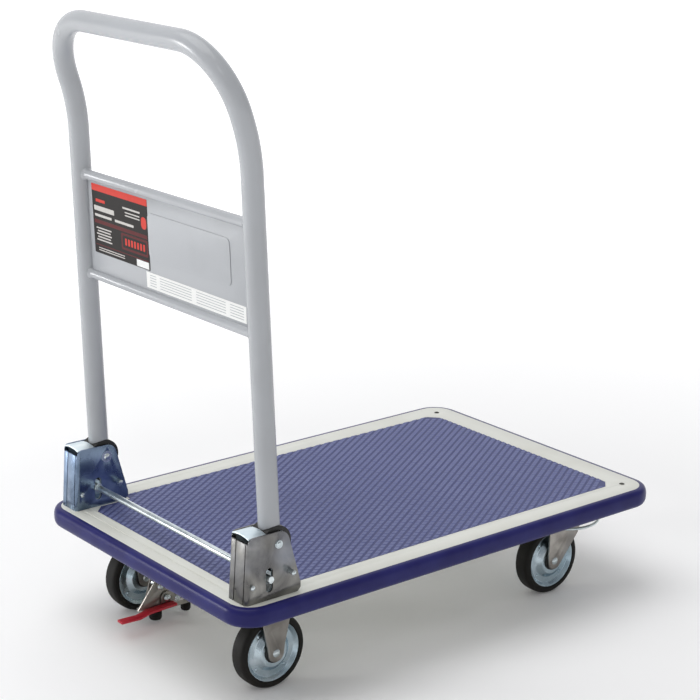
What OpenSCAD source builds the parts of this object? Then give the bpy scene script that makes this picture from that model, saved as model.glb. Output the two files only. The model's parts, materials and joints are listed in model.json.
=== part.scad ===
// Flatbed platform truck: pressed deck, fold-down tube handle, two fixed casters under
// the handle, two swivel casters at the front, and a foot-operated floor lock.
// Frame: +X right, +Y forward (away from the handle), +Z up. The origin is on the floor
// under the middle of the whole truck. Lengths are in millimetres.

/* [Deck] */
// Length of the deck over its bumper
deck_len = 725; // [680:1:950]
// Width of the deck over its bumper
deck_w = 465; // [440:1:640]
// How far the bumper stands out from the steel pan
bumper_out = 10; // [6:1:16]
// Height of the bumper
bumper_h = 25.4; // [20:0.1:34]
// Corner radius of the steel pan
pan_corner = 30; // [15:1:45]
// Depth of the pan's skirt
skirt_h = 22; // [15:1:26]
// Thickness of the pan's sheet
pan_t = 1.6; // [1:0.1:2.5]
// Inward lip at the foot of the skirt
pan_lip = 10; // [4:1:14]
// Painted rim left beside the mat
rim_side = 33.2; // [28:0.1:60]
// Painted rim left behind the mat
rim_rear = 33.2; // [28:0.1:60]
// Painted rim left ahead of the mat
rim_front = 37.5; // [28:0.1:60]
// Thickness of the mat
mat_t = 3; // [2:0.1:5]
// How far the mat stands above the rim
mat_proud = 0.4; // [0.1:0.1:1.5]
// Cut-off at the mat's corners
mat_chamfer = 14; // [4:1:24]
// Depth of the two cross channels under the pan
channel_h = 20.2; // [16:0.1:30]
// Thickness of the cross channels
channel_t = 2; // [1.5:0.1:3]

/* [Handle] */
// Outer diameter of the handle tube
tube_d = 27.2; // [22:0.1:30]
// Wall of the handle tube
tube_wall = 1.6; // [1:0.1:2.5]
// Distance from the truck's middle to each handle pivot
pivot_x = 194.5; // [180:0.5:260]
// Distance from the rear edge of the deck to the handle pivot
pivot_inset = 69; // [66:0.5:90]
// Height of the pivot above the rim
pivot_h = 69.1; // [60:0.1:85]
// Backward lean of the legs, in degrees
leg_lean = 2.7; // [0:0.1:5]
// Inward slope of each leg, in degrees
leg_splay = 0.57; // [0:0.01:1]
// Straight length of a leg from the pivot to its bend
leg_len = 453; // [380:1:560]
// Angle of the backward bend, in degrees
bend_angle = 15.6; // [5:0.1:25]
// Radius of the backward bend
bend_r = 239; // [120:1:300]
// Straight length between the bend and the corner
bend_gap = 8.5; // [2:0.5:60]
// Radius of the handle's top corners
corner_r = 85; // [50:1:120]
// Diameter of the two cross bars
bar_d = 12.7; // [10:0.1:18]
// Distance from the pivot up the leg to the upper cross bar
bar_upper = 395; // [330:1:430]
// Distance from the pivot up the leg to the lower cross bar
bar_lower = 260; // [180:1:300]
// Thickness of the back panel
panel_t = 1.2; // [0.8:0.1:2]
// Height of the panel's pressed field
emboss_h = 1; // [0.5:0.1:2]
// Thickness of the stuck-on labels
label_t = 0.3; // [0.2:0.1:0.6]

/* [Brackets] */
// Outer width of a handle bracket
bracket_w = 38; // [36:0.5:46]
// Thickness of the bracket's sheet
bracket_t = 2.5; // [1.5:0.1:3]
// Height of a bracket above the rim
bracket_h = 85.6; // [80:0.1:100]
// Distance from the pivot back to the bracket's rear wall
bracket_rear = 48; // [45:0.5:60]
// Backward lean of the bracket's rear wall toward its foot, in degrees
rear_lean = 3.5; // [0:0.1:5]
// Rise of the crowned cap on the stop plate
cap_rise = 2.5; // [1:0.1:4]
// Distance from the pivot forward to the bracket's front foot
bracket_front = 33.5; // [28:0.5:45]
// Thickness of the stop plate inside a bracket
stop_t = 1.8; // [1:0.1:2]
// Diameter of the pivot pin
pivot_d = 10; // [8:0.1:12]
// Running clearance round a turning pin or axle, on the radius
pin_clear = 0.06; // [0.02:0.01:0.1]
// Radius of the resin pivot block
block_r = 22; // [18:0.5:22]
// Reach of the block's latch foot below the pivot
foot_reach = 36.5; // [30:0.5:37]
// Diameter of the release rod
rod_d = 9; // [7:0.1:9.5]
// Distance from the pivot back to the release rod
rod_back = 14.5; // [13:0.5:18]
// Height of the release rod above the rim
rod_h = 27.1; // [25:0.1:28]
// Downward travel of the release rod
rod_travel = 12; // [8:0.5:12]
// Width of the slots that guide the release rod
slot_w = 10.4; // [10:0.1:12]

/* [Casters] */
// Wheel diameter
wheel_d = 100; // [90:1:110]
// Tyre width
tyre_w = 25.4; // [20:0.1:28]
// Diameter of the pressed wheel disc
disc_d = 81; // [70:1:85]
// Rounding of the tyre's shoulders
tyre_round = 4; // [2:0.5:6]
// Overall height of a caster
caster_h = 128; // [126:0.1:145]
// Distance from the truck's middle to each wheel's middle
wheel_x = 148.3; // [120:0.1:160]
// Distance from the rear edge of the deck to the rear axle
rear_axle_inset = 101; // [95:0.5:130]
// Distance from the front edge of the deck to the front kingpins
kingpin_inset = 102.5; // [100:0.5:140]
// Distance from a kingpin back to its axle
trail = 30.2; // [24:0.1:34]
// Outer width of a fork
fork_w = 36.4; // [34:0.1:42]
// Thickness of the fork's sheet
fork_t = 2.5; // [2:0.1:3.5]
// Axle diameter
axle_d = 8; // [6:0.5:10]
// Kingpin diameter
kingpin_d = 12; // [10:0.5:14]
// Wire diameter of the guard ring round a swivel fork
ring_wire = 4; // [3:0.1:4.5]
// Radius of the guard ring
ring_r = 50; // [48:0.5:52]

/* [Floor lock] */
// Distance from the truck's middle to the floor lock
lock_x = 95; // [92:0.5:100]
// Width of the floor lock over its side plates
lock_w = 22; // [20:0.5:24]
// Thickness of the side plates
lock_t = 2.5; // [2:0.1:3]
// Gap between the lock's rubber pads and the floor
pad_gap = 5; // [4:0.1:7]
// Width of the red pedal strap
pedal_w = 12; // [10:0.5:16]
// Thickness of the red pedal strap
pedal_t = 3; // [2:0.1:4]

/* [Hidden] */
$fn = 48;
eps = 0.01;
SIDES = ["left", "right"];

// Heights of the deck's layers
recess = mat_t - mat_proud;
floor_z = caster_h + channel_h;
deck_h = floor_z + pan_t + recess;
// Handle: the bend and the lean add up to the tilt of the top loop
tube_r = tube_d / 2;
tube_below = 14;
bar_r = bar_d / 2;
tilt = leg_lean + bend_angle;
emboss = [176, 60];
grip_half = pivot_x - corner_r * cos(leg_splay)
    - sin(leg_splay) * (bend_gap + bend_r * sin(bend_angle) + leg_len * cos(bend_angle));
// From the middle of the grip to the pivot, before and after the tilt
drop_y = -bend_r * (1 - cos(bend_angle)) - leg_len * sin(bend_angle);
drop_z = -corner_r * (1 - sin(leg_splay))
    - cos(leg_splay) * (bend_gap + bend_r * sin(bend_angle) + leg_len * cos(bend_angle));
grip_back = drop_y * cos(tilt) - drop_z * sin(tilt);
grip_rise = -(drop_y * sin(tilt) + drop_z * cos(tilt));
// Direction up the right leg
leg_dir = [
    -sin(leg_splay) * cos(bend_angle),
    sin(bend_angle) * cos(tilt) - cos(leg_splay) * cos(bend_angle) * sin(tilt),
    sin(bend_angle) * sin(tilt) + cos(leg_splay) * cos(bend_angle) * cos(tilt)
];
leg_pitch = atan2(-leg_dir[1], leg_dir[2]);
// The truck's middle lies between the front of the deck and the back of the grip
rear_reach = max(0, grip_back + tube_r - pivot_inset);
deck_y = rear_reach / 2;
rear_y = deck_y - deck_len / 2;
front_y = deck_y + deck_len / 2;
pivot = [pivot_x, rear_y + pivot_inset, deck_h + pivot_h];
// Deck outlines
pan_w = deck_w - 2 * bumper_out;
pan_len = deck_len - 2 * bumper_out;
mat_x = pan_w / 2 - rim_side;
mat_y0 = rear_y + bumper_out + rim_rear;
mat_y1 = front_y - bumper_out - rim_front;
notch_x = pivot_x - bracket_w / 2 - 1.5;
notch_y = pivot[1] + bracket_front + 2;
// Brackets
wall_in = bracket_w / 2 - bracket_t;
stop_in = wall_in - stop_t;
block_w = 2 * stop_in - 1;
cam_gap = 0.5;
rod_y = pivot[1] - rod_back;
rod_z = deck_h + rod_h;
slot_z0 = rod_z - rod_travel - rod_d / 2 - 0.6;
slot_z1 = rod_z + 14.5;
base_t = 2.5;
rivet_d = 6.5;
rivet_pos = [pivot[1] - 40.5, deck_h + 22.5];
stop_pin_pos = [pivot[1] + 16.5, deck_h + 30.5];
stop_pin_out = 9;
// Two pressed grooves down a bracket's rear wall
wall_grooves = [-6, 13.5];
groove_w = 1.6;
groove_deep = 1.2;
rod_half = pivot_x + bracket_w / 2 + 3.5;
bracket_bolt_y = pivot[1] - 33;
bracket_bolt_x = 8.5;
bracket_bolt_d = 6;
bracket_bolt_af = 10;
// Casters
wheel_r = wheel_d / 2;
rear_axle_y = rear_y + rear_axle_inset;
kingpin_y = front_y - kingpin_inset;
front_axle_y = kingpin_y - trail;
plate_x = 80;
plate_y = 96;
plate_t = 2.5;
bolt_x = 33;
bolt_y = 27;
bolt_d = 8;
head_af = 13;
head_h = 5.5;
fork_in = fork_w / 2 - fork_t;
eye_r = 12;
crown_z1 = caster_h - 7.5;
crown_z0 = crown_z1 - 7.5;
race_gap = 0.5;
disc_t = 1.5;
bush_r = 14;
ring_z = wheel_d + ring_wire / 2 + 3;
ring_post = 62;
rivet_circle = 31;
// Floor lock, measured from the rear edge of the deck and from the floor
lock_y = rear_y + 100.2;
lock_pin_y = lock_y;
lock_pin_z = 39;
guide_pin_y = lock_y + 20.6;
guide_pin_z = 31.6;
lock_pins = [[lock_pin_y, lock_pin_z], [guide_pin_y, guide_pin_z], [lock_y - 6.7, 55]];
lock_pin_d = 8;
stem_half = 6;
stem_y = (lock_pin_y + guide_pin_y) / 2;
foot_z0 = pad_gap + 13;
foot_t = 6.5;
finger_gap = 0.6;
foot_z1 = foot_z0 + foot_t;
lock_in = lock_w / 2 - lock_t;
lock_bottom = foot_z1 + 4.2;
// Where each rubber pad is, front to back, and its radius
pads = [[lock_y - 9, 9], [lock_y + 41, 7]];

// ---- shared shapes -------------------------------------------------------------------

// Which side of the truck: -1 is left, 1 is right
function side_sign(side) = side == "left" ? -1 : 1;

// A box from its lowest to its highest corner
module block(lo, hi) {
    translate(lo) cube(hi - lo);
}

// An outline in Y and Z, extruded along X from x0 to x1
module side_plate(x0, x1) {
    translate([x0, 0, 0]) rotate([90, 0, 90]) linear_extrude(x1 - x0) children();
}

// A round bar along X
module x_bar(r, x0, x1) {
    translate([x0, 0, 0]) rotate([0, 90, 0]) cylinder(r = r, h = x1 - x0);
}

// A rectangle with true round corners
module round_rect(w, l, r) {
    square([w - 2 * r, l], center = true);
    square([w, l - 2 * r], center = true);
    for (sx = [-1, 1], sy = [-1, 1])
        translate([sx * (w / 2 - r), sy * (l / 2 - r)]) circle(r);
}

// A slot standing upright, z0 to z1 overall
module upright_slot(w, z0, z1) {
    translate([-w / 2, z0 + w / 2]) square([w, z1 - z0 - w]);
    for (z = [z0 + w / 2, z1 - w / 2]) translate([0, z]) circle(w / 2);
}

// A hexagon bolt along Z: the head's seat is at z = 0 and the shank goes down
module hex_bolt(d, af, head, shank) {
    cylinder(d = af / cos(30), h = head, $fn = 6);
    translate([0, 0, -shank]) cylinder(d = d, h = shank + eps);
}

// A low dome on a flat seat at z = 0
module dome(r, h) {
    ball = (r * r + h * h) / (2 * h);
    rotate_extrude() intersection() {
        translate([0, h - ball]) circle(ball, $fn = 96);
        square([r, h]);
    }
}

// ---- deck ----------------------------------------------------------------------------

module pan_outline(inset) {
    translate([0, deck_y]) round_rect(pan_w - 2 * inset, pan_len - 2 * inset, pan_corner - inset);
}

// Mat outline, notched round the two brackets at the rear
module mat_outline(grow) {
    c = mat_chamfer;
    right = [
        [notch_x - c, mat_y0], [notch_x, mat_y0 + c], [notch_x, notch_y],
        [mat_x, notch_y], [mat_x, mat_y1 - c], [mat_x - c, mat_y1]
    ];
    left = [for (i = [len(right) - 1 : -1 : 0]) [-right[i][0], right[i][1]]];
    if (grow == 0) polygon(concat(right, left));
    else offset(delta = grow) polygon(concat(right, left));
}

module deck_pan() {
    skirt_z = deck_h - skirt_h;
    color("#e0e1d9") difference() {
        translate([0, 0, skirt_z]) linear_extrude(skirt_h) pan_outline(0);
        // the hollow under the floor, above the lip
        translate([0, 0, skirt_z + pan_t])
            linear_extrude(floor_z - skirt_z - pan_t) pan_outline(pan_t);
        translate([0, 0, skirt_z - 1]) linear_extrude(pan_t + 2) pan_outline(pan_lip);
        // the raised rim, hollow from below
        translate([0, 0, floor_z - eps]) linear_extrude(recess + eps) difference() {
            pan_outline(pan_t);
            mat_outline(pan_t);
        }
        // the pocket that the mat lies in
        translate([0, 0, deck_h - recess]) linear_extrude(recess + 1) mat_outline(0.2);
        // a pressed groove across the rear rim, between the brackets
        block([-notch_x, rear_y + bumper_out + 16.5, deck_h - 0.7],
              [notch_x, rear_y + bumper_out + 19.5, deck_h + 1]);
        bracket_bolt_places() cylinder(d = bracket_bolt_d + 0.4, h = 3 * pan_t, center = true);
        corner_screw_places() cylinder(d = 4.4, h = 3 * pan_t, center = true);
    }
}

module deck_mat() {
    color("#676e95") translate([0, 0, deck_h - recess]) linear_extrude(mat_t) mat_outline(0);
}

// Half-round bumper section: r is measured out from the pan, z from its middle
function bumper_profile(n) = concat(
    [[0, -bumper_h / 2]],
    [for (i = [0 : n])
        let (a = -90 + 180 * i / n, s = sin(a))
        [bumper_out * pow(cos(a), 0.62), sign(s) * bumper_h / 2 * pow(abs(s), 0.8)]],
    [[0, bumper_h / 2]]
);

module bumper() {
    corner = [pan_w / 2 - pan_corner, pan_len / 2 - pan_corner];
    color("#28284e") translate([0, deck_y, deck_h - bumper_h / 2]) for (q = [0 : 3]) {
        run = q % 2 == 0 ? corner[1] : corner[0];
        out = (q % 2 == 0 ? corner[0] : corner[1]) + pan_corner;
        rotate(90 * q) translate([out, run, 0]) rotate([90, 0, 0])
            linear_extrude(2 * run) polygon(bumper_profile(12));
        rotate(90 * q) translate([out - pan_corner, run, 0])
            rotate_extrude(angle = 90) translate([pan_corner, 0]) polygon(bumper_profile(12));
    }
}

// A hat-section channel across the truck under the pan, middle at y
module cross_channel(y) {
    half = plate_y / 2;
    reach = wheel_x + plate_x / 2 + 3;
    flange = 8;
    block([-reach, y - half, caster_h], [reach, y + half, caster_h + channel_t]);
    for (s = [-1, 1]) {
        wall = s * (half - channel_t / 2);
        block([-reach, y + wall - channel_t / 2, caster_h],
              [reach, y + wall + channel_t / 2, floor_z]);
        lip = s * (half + flange / 2);
        block([-reach, y + lip - flange / 2 - eps, floor_z - channel_t],
              [reach, y + lip + flange / 2 + eps, floor_z]);
    }
}

module front_channel() {
    color("#c9cabf") difference() {
        cross_channel(kingpin_y);
        for (s = [-1, 1]) translate([s * wheel_x, kingpin_y, caster_h]) {
            bolt_places() cylinder(d = bolt_d + 0.4, h = 3 * channel_t, center = true);
            cylinder(d = kingpin_d + 8, h = 3 * channel_t, center = true);
        }
    }
}

module rear_channel() {
    color("#c9cabf") difference() {
        cross_channel(rear_axle_y);
        for (s = [-1, 1]) translate([s * wheel_x, rear_axle_y, caster_h])
            bolt_places() cylinder(d = bolt_d + 0.4, h = 3 * channel_t, center = true);
    }
}

module corner_screw_places() {
    for (s = [-1, 1]) translate([s * (pan_w / 2 - 26.5), front_y - bumper_out - 25.5, deck_h])
        children();
}

module corner_screws() {
    color("#55554f") corner_screw_places() {
        dome(4, 1.4);
        translate([0, 0, -6]) cylinder(d = 4, h = 6 + eps);
    }
}

// ---- handle brackets -----------------------------------------------------------------

// Where the outer face of a bracket's leaning rear wall is, at height z
function rear_wall_y(z) =
    pivot[1] - bracket_rear + (z - deck_h - bracket_h / 2) * tan(rear_lean);

// The side outline of a bracket cheek, shrunk by inset
module cheek_outline(inset) {
    y0 = rear_wall_y(deck_h + bracket_h) + inset;
    foot_y0 = rear_wall_y(deck_h) + inset;
    y1 = pivot[1] + bracket_front - inset;
    z0 = deck_h;
    z1 = deck_h + bracket_h - inset;
    nose = deck_h + bracket_h - pivot[2] - inset;
    knee = deck_h + 12;
    foot_r = 5;
    back_r = 8;
    // the back corner, the round nose over the pivot and the sloping front edge
    polygon([
        [foot_y0, z0], [pivot[1], z0], [pivot[1], z1 - back_r],
        [rear_wall_y(z1 - back_r) + inset, z1 - back_r]
    ]);
    translate([y0 + back_r, z0]) square([pivot[1] - y0 - back_r, z1 - z0]);
    translate([y0 + back_r, z1 - back_r]) circle(back_r);
    translate([pivot[1], z1 - nose]) circle(nose);
    slope = atan2(y1 - (pivot[1] + nose), pivot[2] - knee);
    polygon([
        [pivot[1], z0], [y1 - foot_r, z0], [y1, z0 + foot_r], [y1, knee],
        [pivot[1] + nose * cos(slope), pivot[2] + nose * sin(slope)],
        [pivot[1], pivot[2] + nose]
    ]);
}

// A bracket's plan: a channel open to the front
module channel_plan(half, t, y0, y1) {
    r = 5;
    difference() {
        union() {
            translate([-half, y0 + r]) square([2 * half, y1 - y0 - r]);
            translate([-half + r, y0]) square([2 * half - 2 * r, r + eps]);
            for (s = [-1, 1]) translate([s * (half - r), y0 + r]) circle(r);
        }
        translate([-half + t, y0 + r]) square([2 * half - 2 * t, y1 - y0]);
        translate([-half + r, y0 + t]) square([2 * half - 2 * r, r]);
        for (s = [-1, 1]) translate([s * (half - r), y0 + r]) circle(r - t);
    }
}

// The holes that a bracket and its stop plate share
module cheek_holes() {
    side_plate(-bracket_w, bracket_w) translate([rod_y, 0]) upright_slot(slot_w, slot_z0, slot_z1);
    translate([0, pivot[1], pivot[2]]) x_bar(pivot_d / 2, -bracket_w, bracket_w);
    for (p = [rivet_pos, stop_pin_pos])
        translate([0, p[0], p[1]]) x_bar(rivet_d / 2, -bracket_w, bracket_w);
}

// Places its children on the rear wall: Z up the wall, y = 0 on its outer face
module on_rear_wall() {
    translate([0, rear_wall_y(deck_h + bracket_h / 2), deck_h + bracket_h / 2])
        rotate([-rear_lean, 0, 0]) children();
}

module bracket(side) {
    y1 = pivot[1] + bracket_front;
    color("#9aa0a2") translate([side_sign(side) * pivot_x, 0, 0]) difference() {
        union() {
            intersection() {
                on_rear_wall() translate([0, 0, -bracket_h]) linear_extrude(2 * bracket_h)
                    channel_plan(bracket_w / 2, bracket_t, 0, bracket_rear + bracket_front + 9);
                side_plate(-bracket_w / 2, bracket_w / 2) cheek_outline(0);
            }
            block([-wall_in - eps, rear_wall_y(deck_h) + bracket_t, deck_h],
                  [wall_in + eps, y1 - 8, deck_h + base_t]);
        }
        // the rear wall stops below the cap of the stop plate
        block([-wall_in, rear_wall_y(deck_h) - 1, deck_h + bracket_h - 7.5],
              [wall_in, rear_wall_y(deck_h + bracket_h) + bracket_t + 3, deck_h + bracket_h + 1]);
        on_rear_wall() for (x = wall_grooves)
            block([x - groove_w / 2, -1, -bracket_h], [x + groove_w / 2, groove_deep, bracket_h]);
        cheek_holes();
        for (s = [-1, 1]) translate([s * bracket_bolt_x, bracket_bolt_y, deck_h])
            cylinder(d = bracket_bolt_d + 0.4, h = 3 * base_t, center = true);
    }
}

// The plated stop inside a bracket: a cap over the top and two legs against the cheeks
module stop_plate(side) {
    z1 = deck_h + bracket_h;
    y0 = rear_wall_y(z1) + bracket_t + 2;
    cap_y0 = rear_wall_y(z1) + 1;
    // the cap ends short of the pivot block's round
    cap_low = z1 - stop_t - 0.6 - pivot[2];
    cap_y1 = pivot[1] - sqrt(block_r * block_r - cap_low * cap_low) - cam_gap;
    crown_r = (wall_in * wall_in + cap_rise * cap_rise) / (2 * cap_rise);
    color("#c4ccd0") translate([side_sign(side) * pivot_x, 0, 0]) difference() {
        union() {
            for (s = [-1, 1]) intersection() {
                side_plate(min(s * wall_in, s * stop_in), max(s * wall_in, s * stop_in))
                    cheek_outline(0);
                block([-bracket_w, y0 + 2, deck_h + base_t], [bracket_w, pivot[1] + 26, z1 - 1.2]);
            }
            translate([0, cap_y1, z1 - 0.6 + cap_rise - crown_r]) rotate([90, 0, 0])
                linear_extrude(cap_y1 - cap_y0) intersection() {
                    difference() {
                        circle(crown_r, $fn = 192);
                        circle(crown_r - stop_t, $fn = 192);
                    }
                    translate([-wall_in, 0]) square([2 * wall_in, crown_r]);
                }
        }
        cheek_holes();
    }
}

// A cross pin through a bracket with a domed end at each side
module cross_pin(pos, d, out) {
    half = bracket_w / 2;
    translate([0, pos[0], pos[1]]) {
        x_bar(d / 2, -half - out, half + out);
        for (s = [-1, 1])
            translate([s * (half + out - eps), 0, 0]) rotate([0, s * 90, 0]) dome(d / 2, 1.4);
    }
}

module bracket_rivets() {
    color("#b8bec1") for (s = [-1, 1]) translate([s * pivot_x, 0, 0]) {
        cross_pin(rivet_pos, rivet_d, 2.2);
        cross_pin(stop_pin_pos, rivet_d, stop_pin_out);
    }
}

// The pivot pin, with a dark washer on the inner cheek and a riveted end on the outer one
module pivot_pin(side) {
    s = side_sign(side);
    half = bracket_w / 2;
    washer_t = 1.2;
    color("#8b9092") translate([s * pivot_x, pivot[1], pivot[2]]) {
        x_bar(pivot_d / 2, -half - washer_t, half + washer_t);
        translate([s * (half + eps), 0, 0]) rotate([0, s * 90, 0]) dome(5.6, 2.2);
        rotate([0, -s * 90, 0]) translate([0, 0, half]) cylinder(r = 8, h = washer_t);
        translate([-s * (half + washer_t - eps), 0, 0]) rotate([0, -s * 90, 0]) dome(4.6, 2);
    }
}

module bracket_bolt_places() {
    for (s = [-1, 1], t = [-1, 1])
        translate([s * pivot_x + t * bracket_bolt_x, bracket_bolt_y, deck_h]) children();
}

module bracket_bolts() {
    color("#b8bec1") bracket_bolt_places() {
        translate([0, 0, base_t]) hex_bolt(bracket_bolt_d, bracket_bolt_af, 4, base_t + pan_t + 8);
        translate([0, 0, -pan_t - 5])
            cylinder(d = bracket_bolt_af / cos(30), h = 5, $fn = 6);
    }
}

// A coil spring under the release rod, swept along its helix
module latch_spring(side) {
    wire = 0.7;
    coil_r = 4.2;
    z0 = deck_h + base_t + wire;
    z1 = rod_z - rod_d / 2 - wire - 0.05;
    turns = 4;
    steps = 13 * turns;
    ring = 6;
    rise = (z1 - z0) / steps;
    slope = atan2(z1 - z0, 2 * PI * coil_r * turns);
    points = [for (i = [0 : steps], k = [0 : ring - 1])
        let (a = 360 * turns * i / steps, b = 360 * k / ring, u = wire * cos(b), w = wire * sin(b))
        [(coil_r + u) * cos(a) + w * sin(slope) * sin(a),
         (coil_r + u) * sin(a) - w * sin(slope) * cos(a),
         rise * i + w * cos(slope)]];
    faces = concat(
        [[for (k = [0 : ring - 1]) k]],
        [for (i = [0 : steps - 1], k = [0 : ring - 1])
            let (n = (k + 1) % ring)
            [ring * i + k, ring * (i + 1) + k, ring * (i + 1) + n, ring * i + n]],
        [[for (k = [ring - 1 : -1 : 0]) ring * steps + k]]
    );
    color("#9aa0a2") translate([side_sign(side) * pivot_x, rod_y, z0])
        polyhedron(points, faces, convexity = 8);
}

// ---- handle --------------------------------------------------------------------------

// A straight run of handle tube from 0 to len, shorter than that by a hair at each end
// that meets a bend. Four keys inside the wall join it to the bend there.
module tube_run(len, low_end = true) {
    slit = 0.05;
    key = [tube_wall / 2, 3, 2];
    start = low_end ? slit : 0;
    difference() {
        translate([0, 0, start]) cylinder(r = tube_r, h = len - start - slit);
        translate([0, 0, -1]) cylinder(r = tube_r - tube_wall, h = len + 2);
    }
    for (z = low_end ? [0, len] : [len], a = [0 : 90 : 270])
        rotate(a) translate([tube_r - tube_wall / 2, 0, z]) cube(key, center = true);
}

module tube_arc(radius, angle) {
    rotate_extrude(angle = angle, $fn = 96) translate([radius, 0]) difference() {
        circle(tube_r);
        circle(tube_r - tube_wall);
    }
}

// Moves to a leg's frame: the pivot is at the origin and +Z runs up the leg
module on_leg(side) {
    mirror([side == "left" ? 1 : 0, 0, 0]) translate(pivot)
        rotate([tilt, 0, 0]) rotate([0, -leg_splay, 0]) rotate([-bend_angle, 0, 0]) children();
}

module handle_tube() {
    grip = [0, pivot[1] - grip_back, pivot[2] + grip_rise];
    color("#a5a8ac") difference() {
        union() {
            translate(grip) rotate([tilt, 0, 0]) {
                translate([-grip_half, 0, 0]) rotate([0, 90, 0]) tube_run(2 * grip_half);
                for (m = [0, 1]) mirror([m, 0, 0]) {
                    translate([grip_half, 0, -corner_r]) rotate([90, 0, 0]) rotate([0, 0, leg_splay])
                        tube_arc(corner_r, 90 - leg_splay);
                    translate([grip_half, 0, -corner_r])
                        translate([corner_r * cos(leg_splay), 0, corner_r * sin(leg_splay)])
                        rotate([0, -leg_splay, 0]) {
                            translate([0, 0, -bend_gap]) tube_run(bend_gap);
                            translate([0, -bend_r, -bend_gap]) rotate([90, 0, 90])
                                rotate([0, 0, -bend_angle]) tube_arc(bend_r, bend_angle);
                        }
                }
            }
            for (side = SIDES) on_leg(side)
                translate([0, 0, -tube_below]) tube_run(leg_len + tube_below, false);
        }
        for (s = [-1, 1]) translate([s * pivot_x, pivot[1], pivot[2]])
            x_bar(pivot_d / 2 + 0.8, -tube_d, tube_d);
    }
}

// A bar across the handle at a distance up the legs
module cross_bar(up) {
    at = pivot + up * leg_dir;
    difference() {
        translate([0, at[1], at[2]]) x_bar(bar_r, -at[0], at[0]);
        for (side = SIDES) on_leg(side)
            translate([0, 0, up - tube_d]) cylinder(r = tube_r, h = 2 * tube_d);
    }
}

module crossbar_upper() {
    color("#a5a8ac") cross_bar(bar_upper);
}

module crossbar_lower() {
    color("#a5a8ac") cross_bar(bar_lower);
}

// Moves to the panel's frame: X across, Y up the legs from the pivot, Z to the back
module on_panel() {
    translate([0, pivot[1], pivot[2]]) rotate([90 + leg_pitch, 0, 0]) children();
}

module back_panel() {
    lower = [leg_dir[0] * bar_lower + pivot_x - tube_r, bar_lower];
    upper = [leg_dir[0] * bar_upper + pivot_x - tube_r, bar_upper];
    color("#a5a8ac") difference() {
        union() {
            on_panel() translate([0, 0, -panel_t / 2]) linear_extrude(panel_t)
                polygon([
                    [-lower[0], lower[1]], [lower[0], lower[1]],
                    [upper[0], upper[1]], [-upper[0], upper[1]]
                ]);
            on_panel() translate([52, (bar_lower + bar_upper) / 2 + 12, panel_t / 2 - eps])
                linear_extrude(emboss_h + eps) round_rect(emboss[0], emboss[1], 8);
        }
        for (up = [bar_lower, bar_upper])
            translate([0, pivot[1] + up * leg_dir[1], pivot[2] + up * leg_dir[2]])
                x_bar(bar_r, -pivot_x, pivot_x);
    }
}

module product_label() {
    color("#1c1a1a") on_panel() translate([-101.5, bar_upper - 56, panel_t / 2])
        linear_extrude(label_t) square([130, bar_upper - bar_lower - 42], center = true);
}

module notice_label() {
    color("#e9eae8") on_panel() translate([61, bar_lower + 20, panel_t / 2])
        linear_extrude(label_t) square([214, 21], center = true);
}

// The resin block that fills a leg's foot: a round cam with a latch foot below it
module pivot_block(side) {
    foot_half = 8;
    color("#1d1d1d") difference() {
        translate([side_sign(side) * pivot_x, 0, 0]) side_plate(-block_w / 2, block_w / 2)
            translate([pivot[1], pivot[2]]) {
                circle(block_r, $fn = 96);
                intersection() {
                    circle(foot_reach, $fn = 96);
                    translate([-foot_half, -foot_reach]) square([2 * foot_half, foot_reach]);
                }
            }
        on_leg(side) translate([0, 0, -tube_below]) cylinder(r = tube_r, h = 2 * foot_reach);
        translate([side_sign(side) * pivot_x, pivot[1], pivot[2]])
            x_bar(pivot_d / 2 + pin_clear, -tube_d, tube_d);
    }
}

// ---- release rod ---------------------------------------------------------------------

module release_rod() {
    color("#c4ccd0") translate([0, rod_y, rod_z]) {
        x_bar(rod_d / 2, -rod_half, rod_half);
        for (s = [-1, 1])
            translate([s * (rod_half - eps), 0, 0]) rotate([0, s * 90, 0]) dome(rod_d / 2, 0.8);
    }
}

// Spring clips on the rod beside the inner cheeks
module rod_clips() {
    at = pivot_x - bracket_w / 2 - 1.6;
    color("#8b9092") translate([0, rod_y, rod_z]) for (s = [-1, 1]) rotate([0, s * 90, 0]) difference() {
        translate([0, 0, at]) cylinder(r = rod_d / 2 + 1.6, h = 1);
        cylinder(r = rod_d / 2, h = pivot_x);
    }
}

// ---- casters -------------------------------------------------------------------------

// The four bolts of one caster, round the plate's middle
module bolt_places() {
    for (sx = [-1, 1], sy = [-1, 1]) translate([sx * bolt_x, sy * bolt_y, 0]) children();
}

// A caster's top plate, its top at z = 0
module top_plate() {
    translate([0, 0, -plate_t]) linear_extrude(plate_t) round_rect(plate_x, plate_y, 8);
}

// Side outline of a fixed fork, the axle at the origin
module fixed_leg_outline() {
    top = caster_h - plate_t - wheel_r;
    circle(eye_r);
    polygon([
        [-eye_r, 0], [eye_r, 0], [13.5, 10], [21.5, 44], [26, top],
        [-26, top], [-21.5, 44], [-13.5, 10]
    ]);
}

module fork_rear(side) {
    color("#9aa0a2") translate([side_sign(side) * wheel_x, rear_axle_y, 0]) difference() {
        union() {
            translate([0, 0, caster_h]) top_plate();
            for (s = [-1, 1]) translate([0, 0, wheel_r])
                side_plate(min(s * fork_in, s * fork_w / 2), max(s * fork_in, s * fork_w / 2))
                    fixed_leg_outline();
        }
        translate([0, 0, caster_h]) bolt_places()
            cylinder(d = bolt_d + 0.4, h = 3 * plate_t, center = true);
        translate([0, 0, wheel_r]) x_bar(axle_d / 2, -fork_w, fork_w);
    }
}

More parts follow.
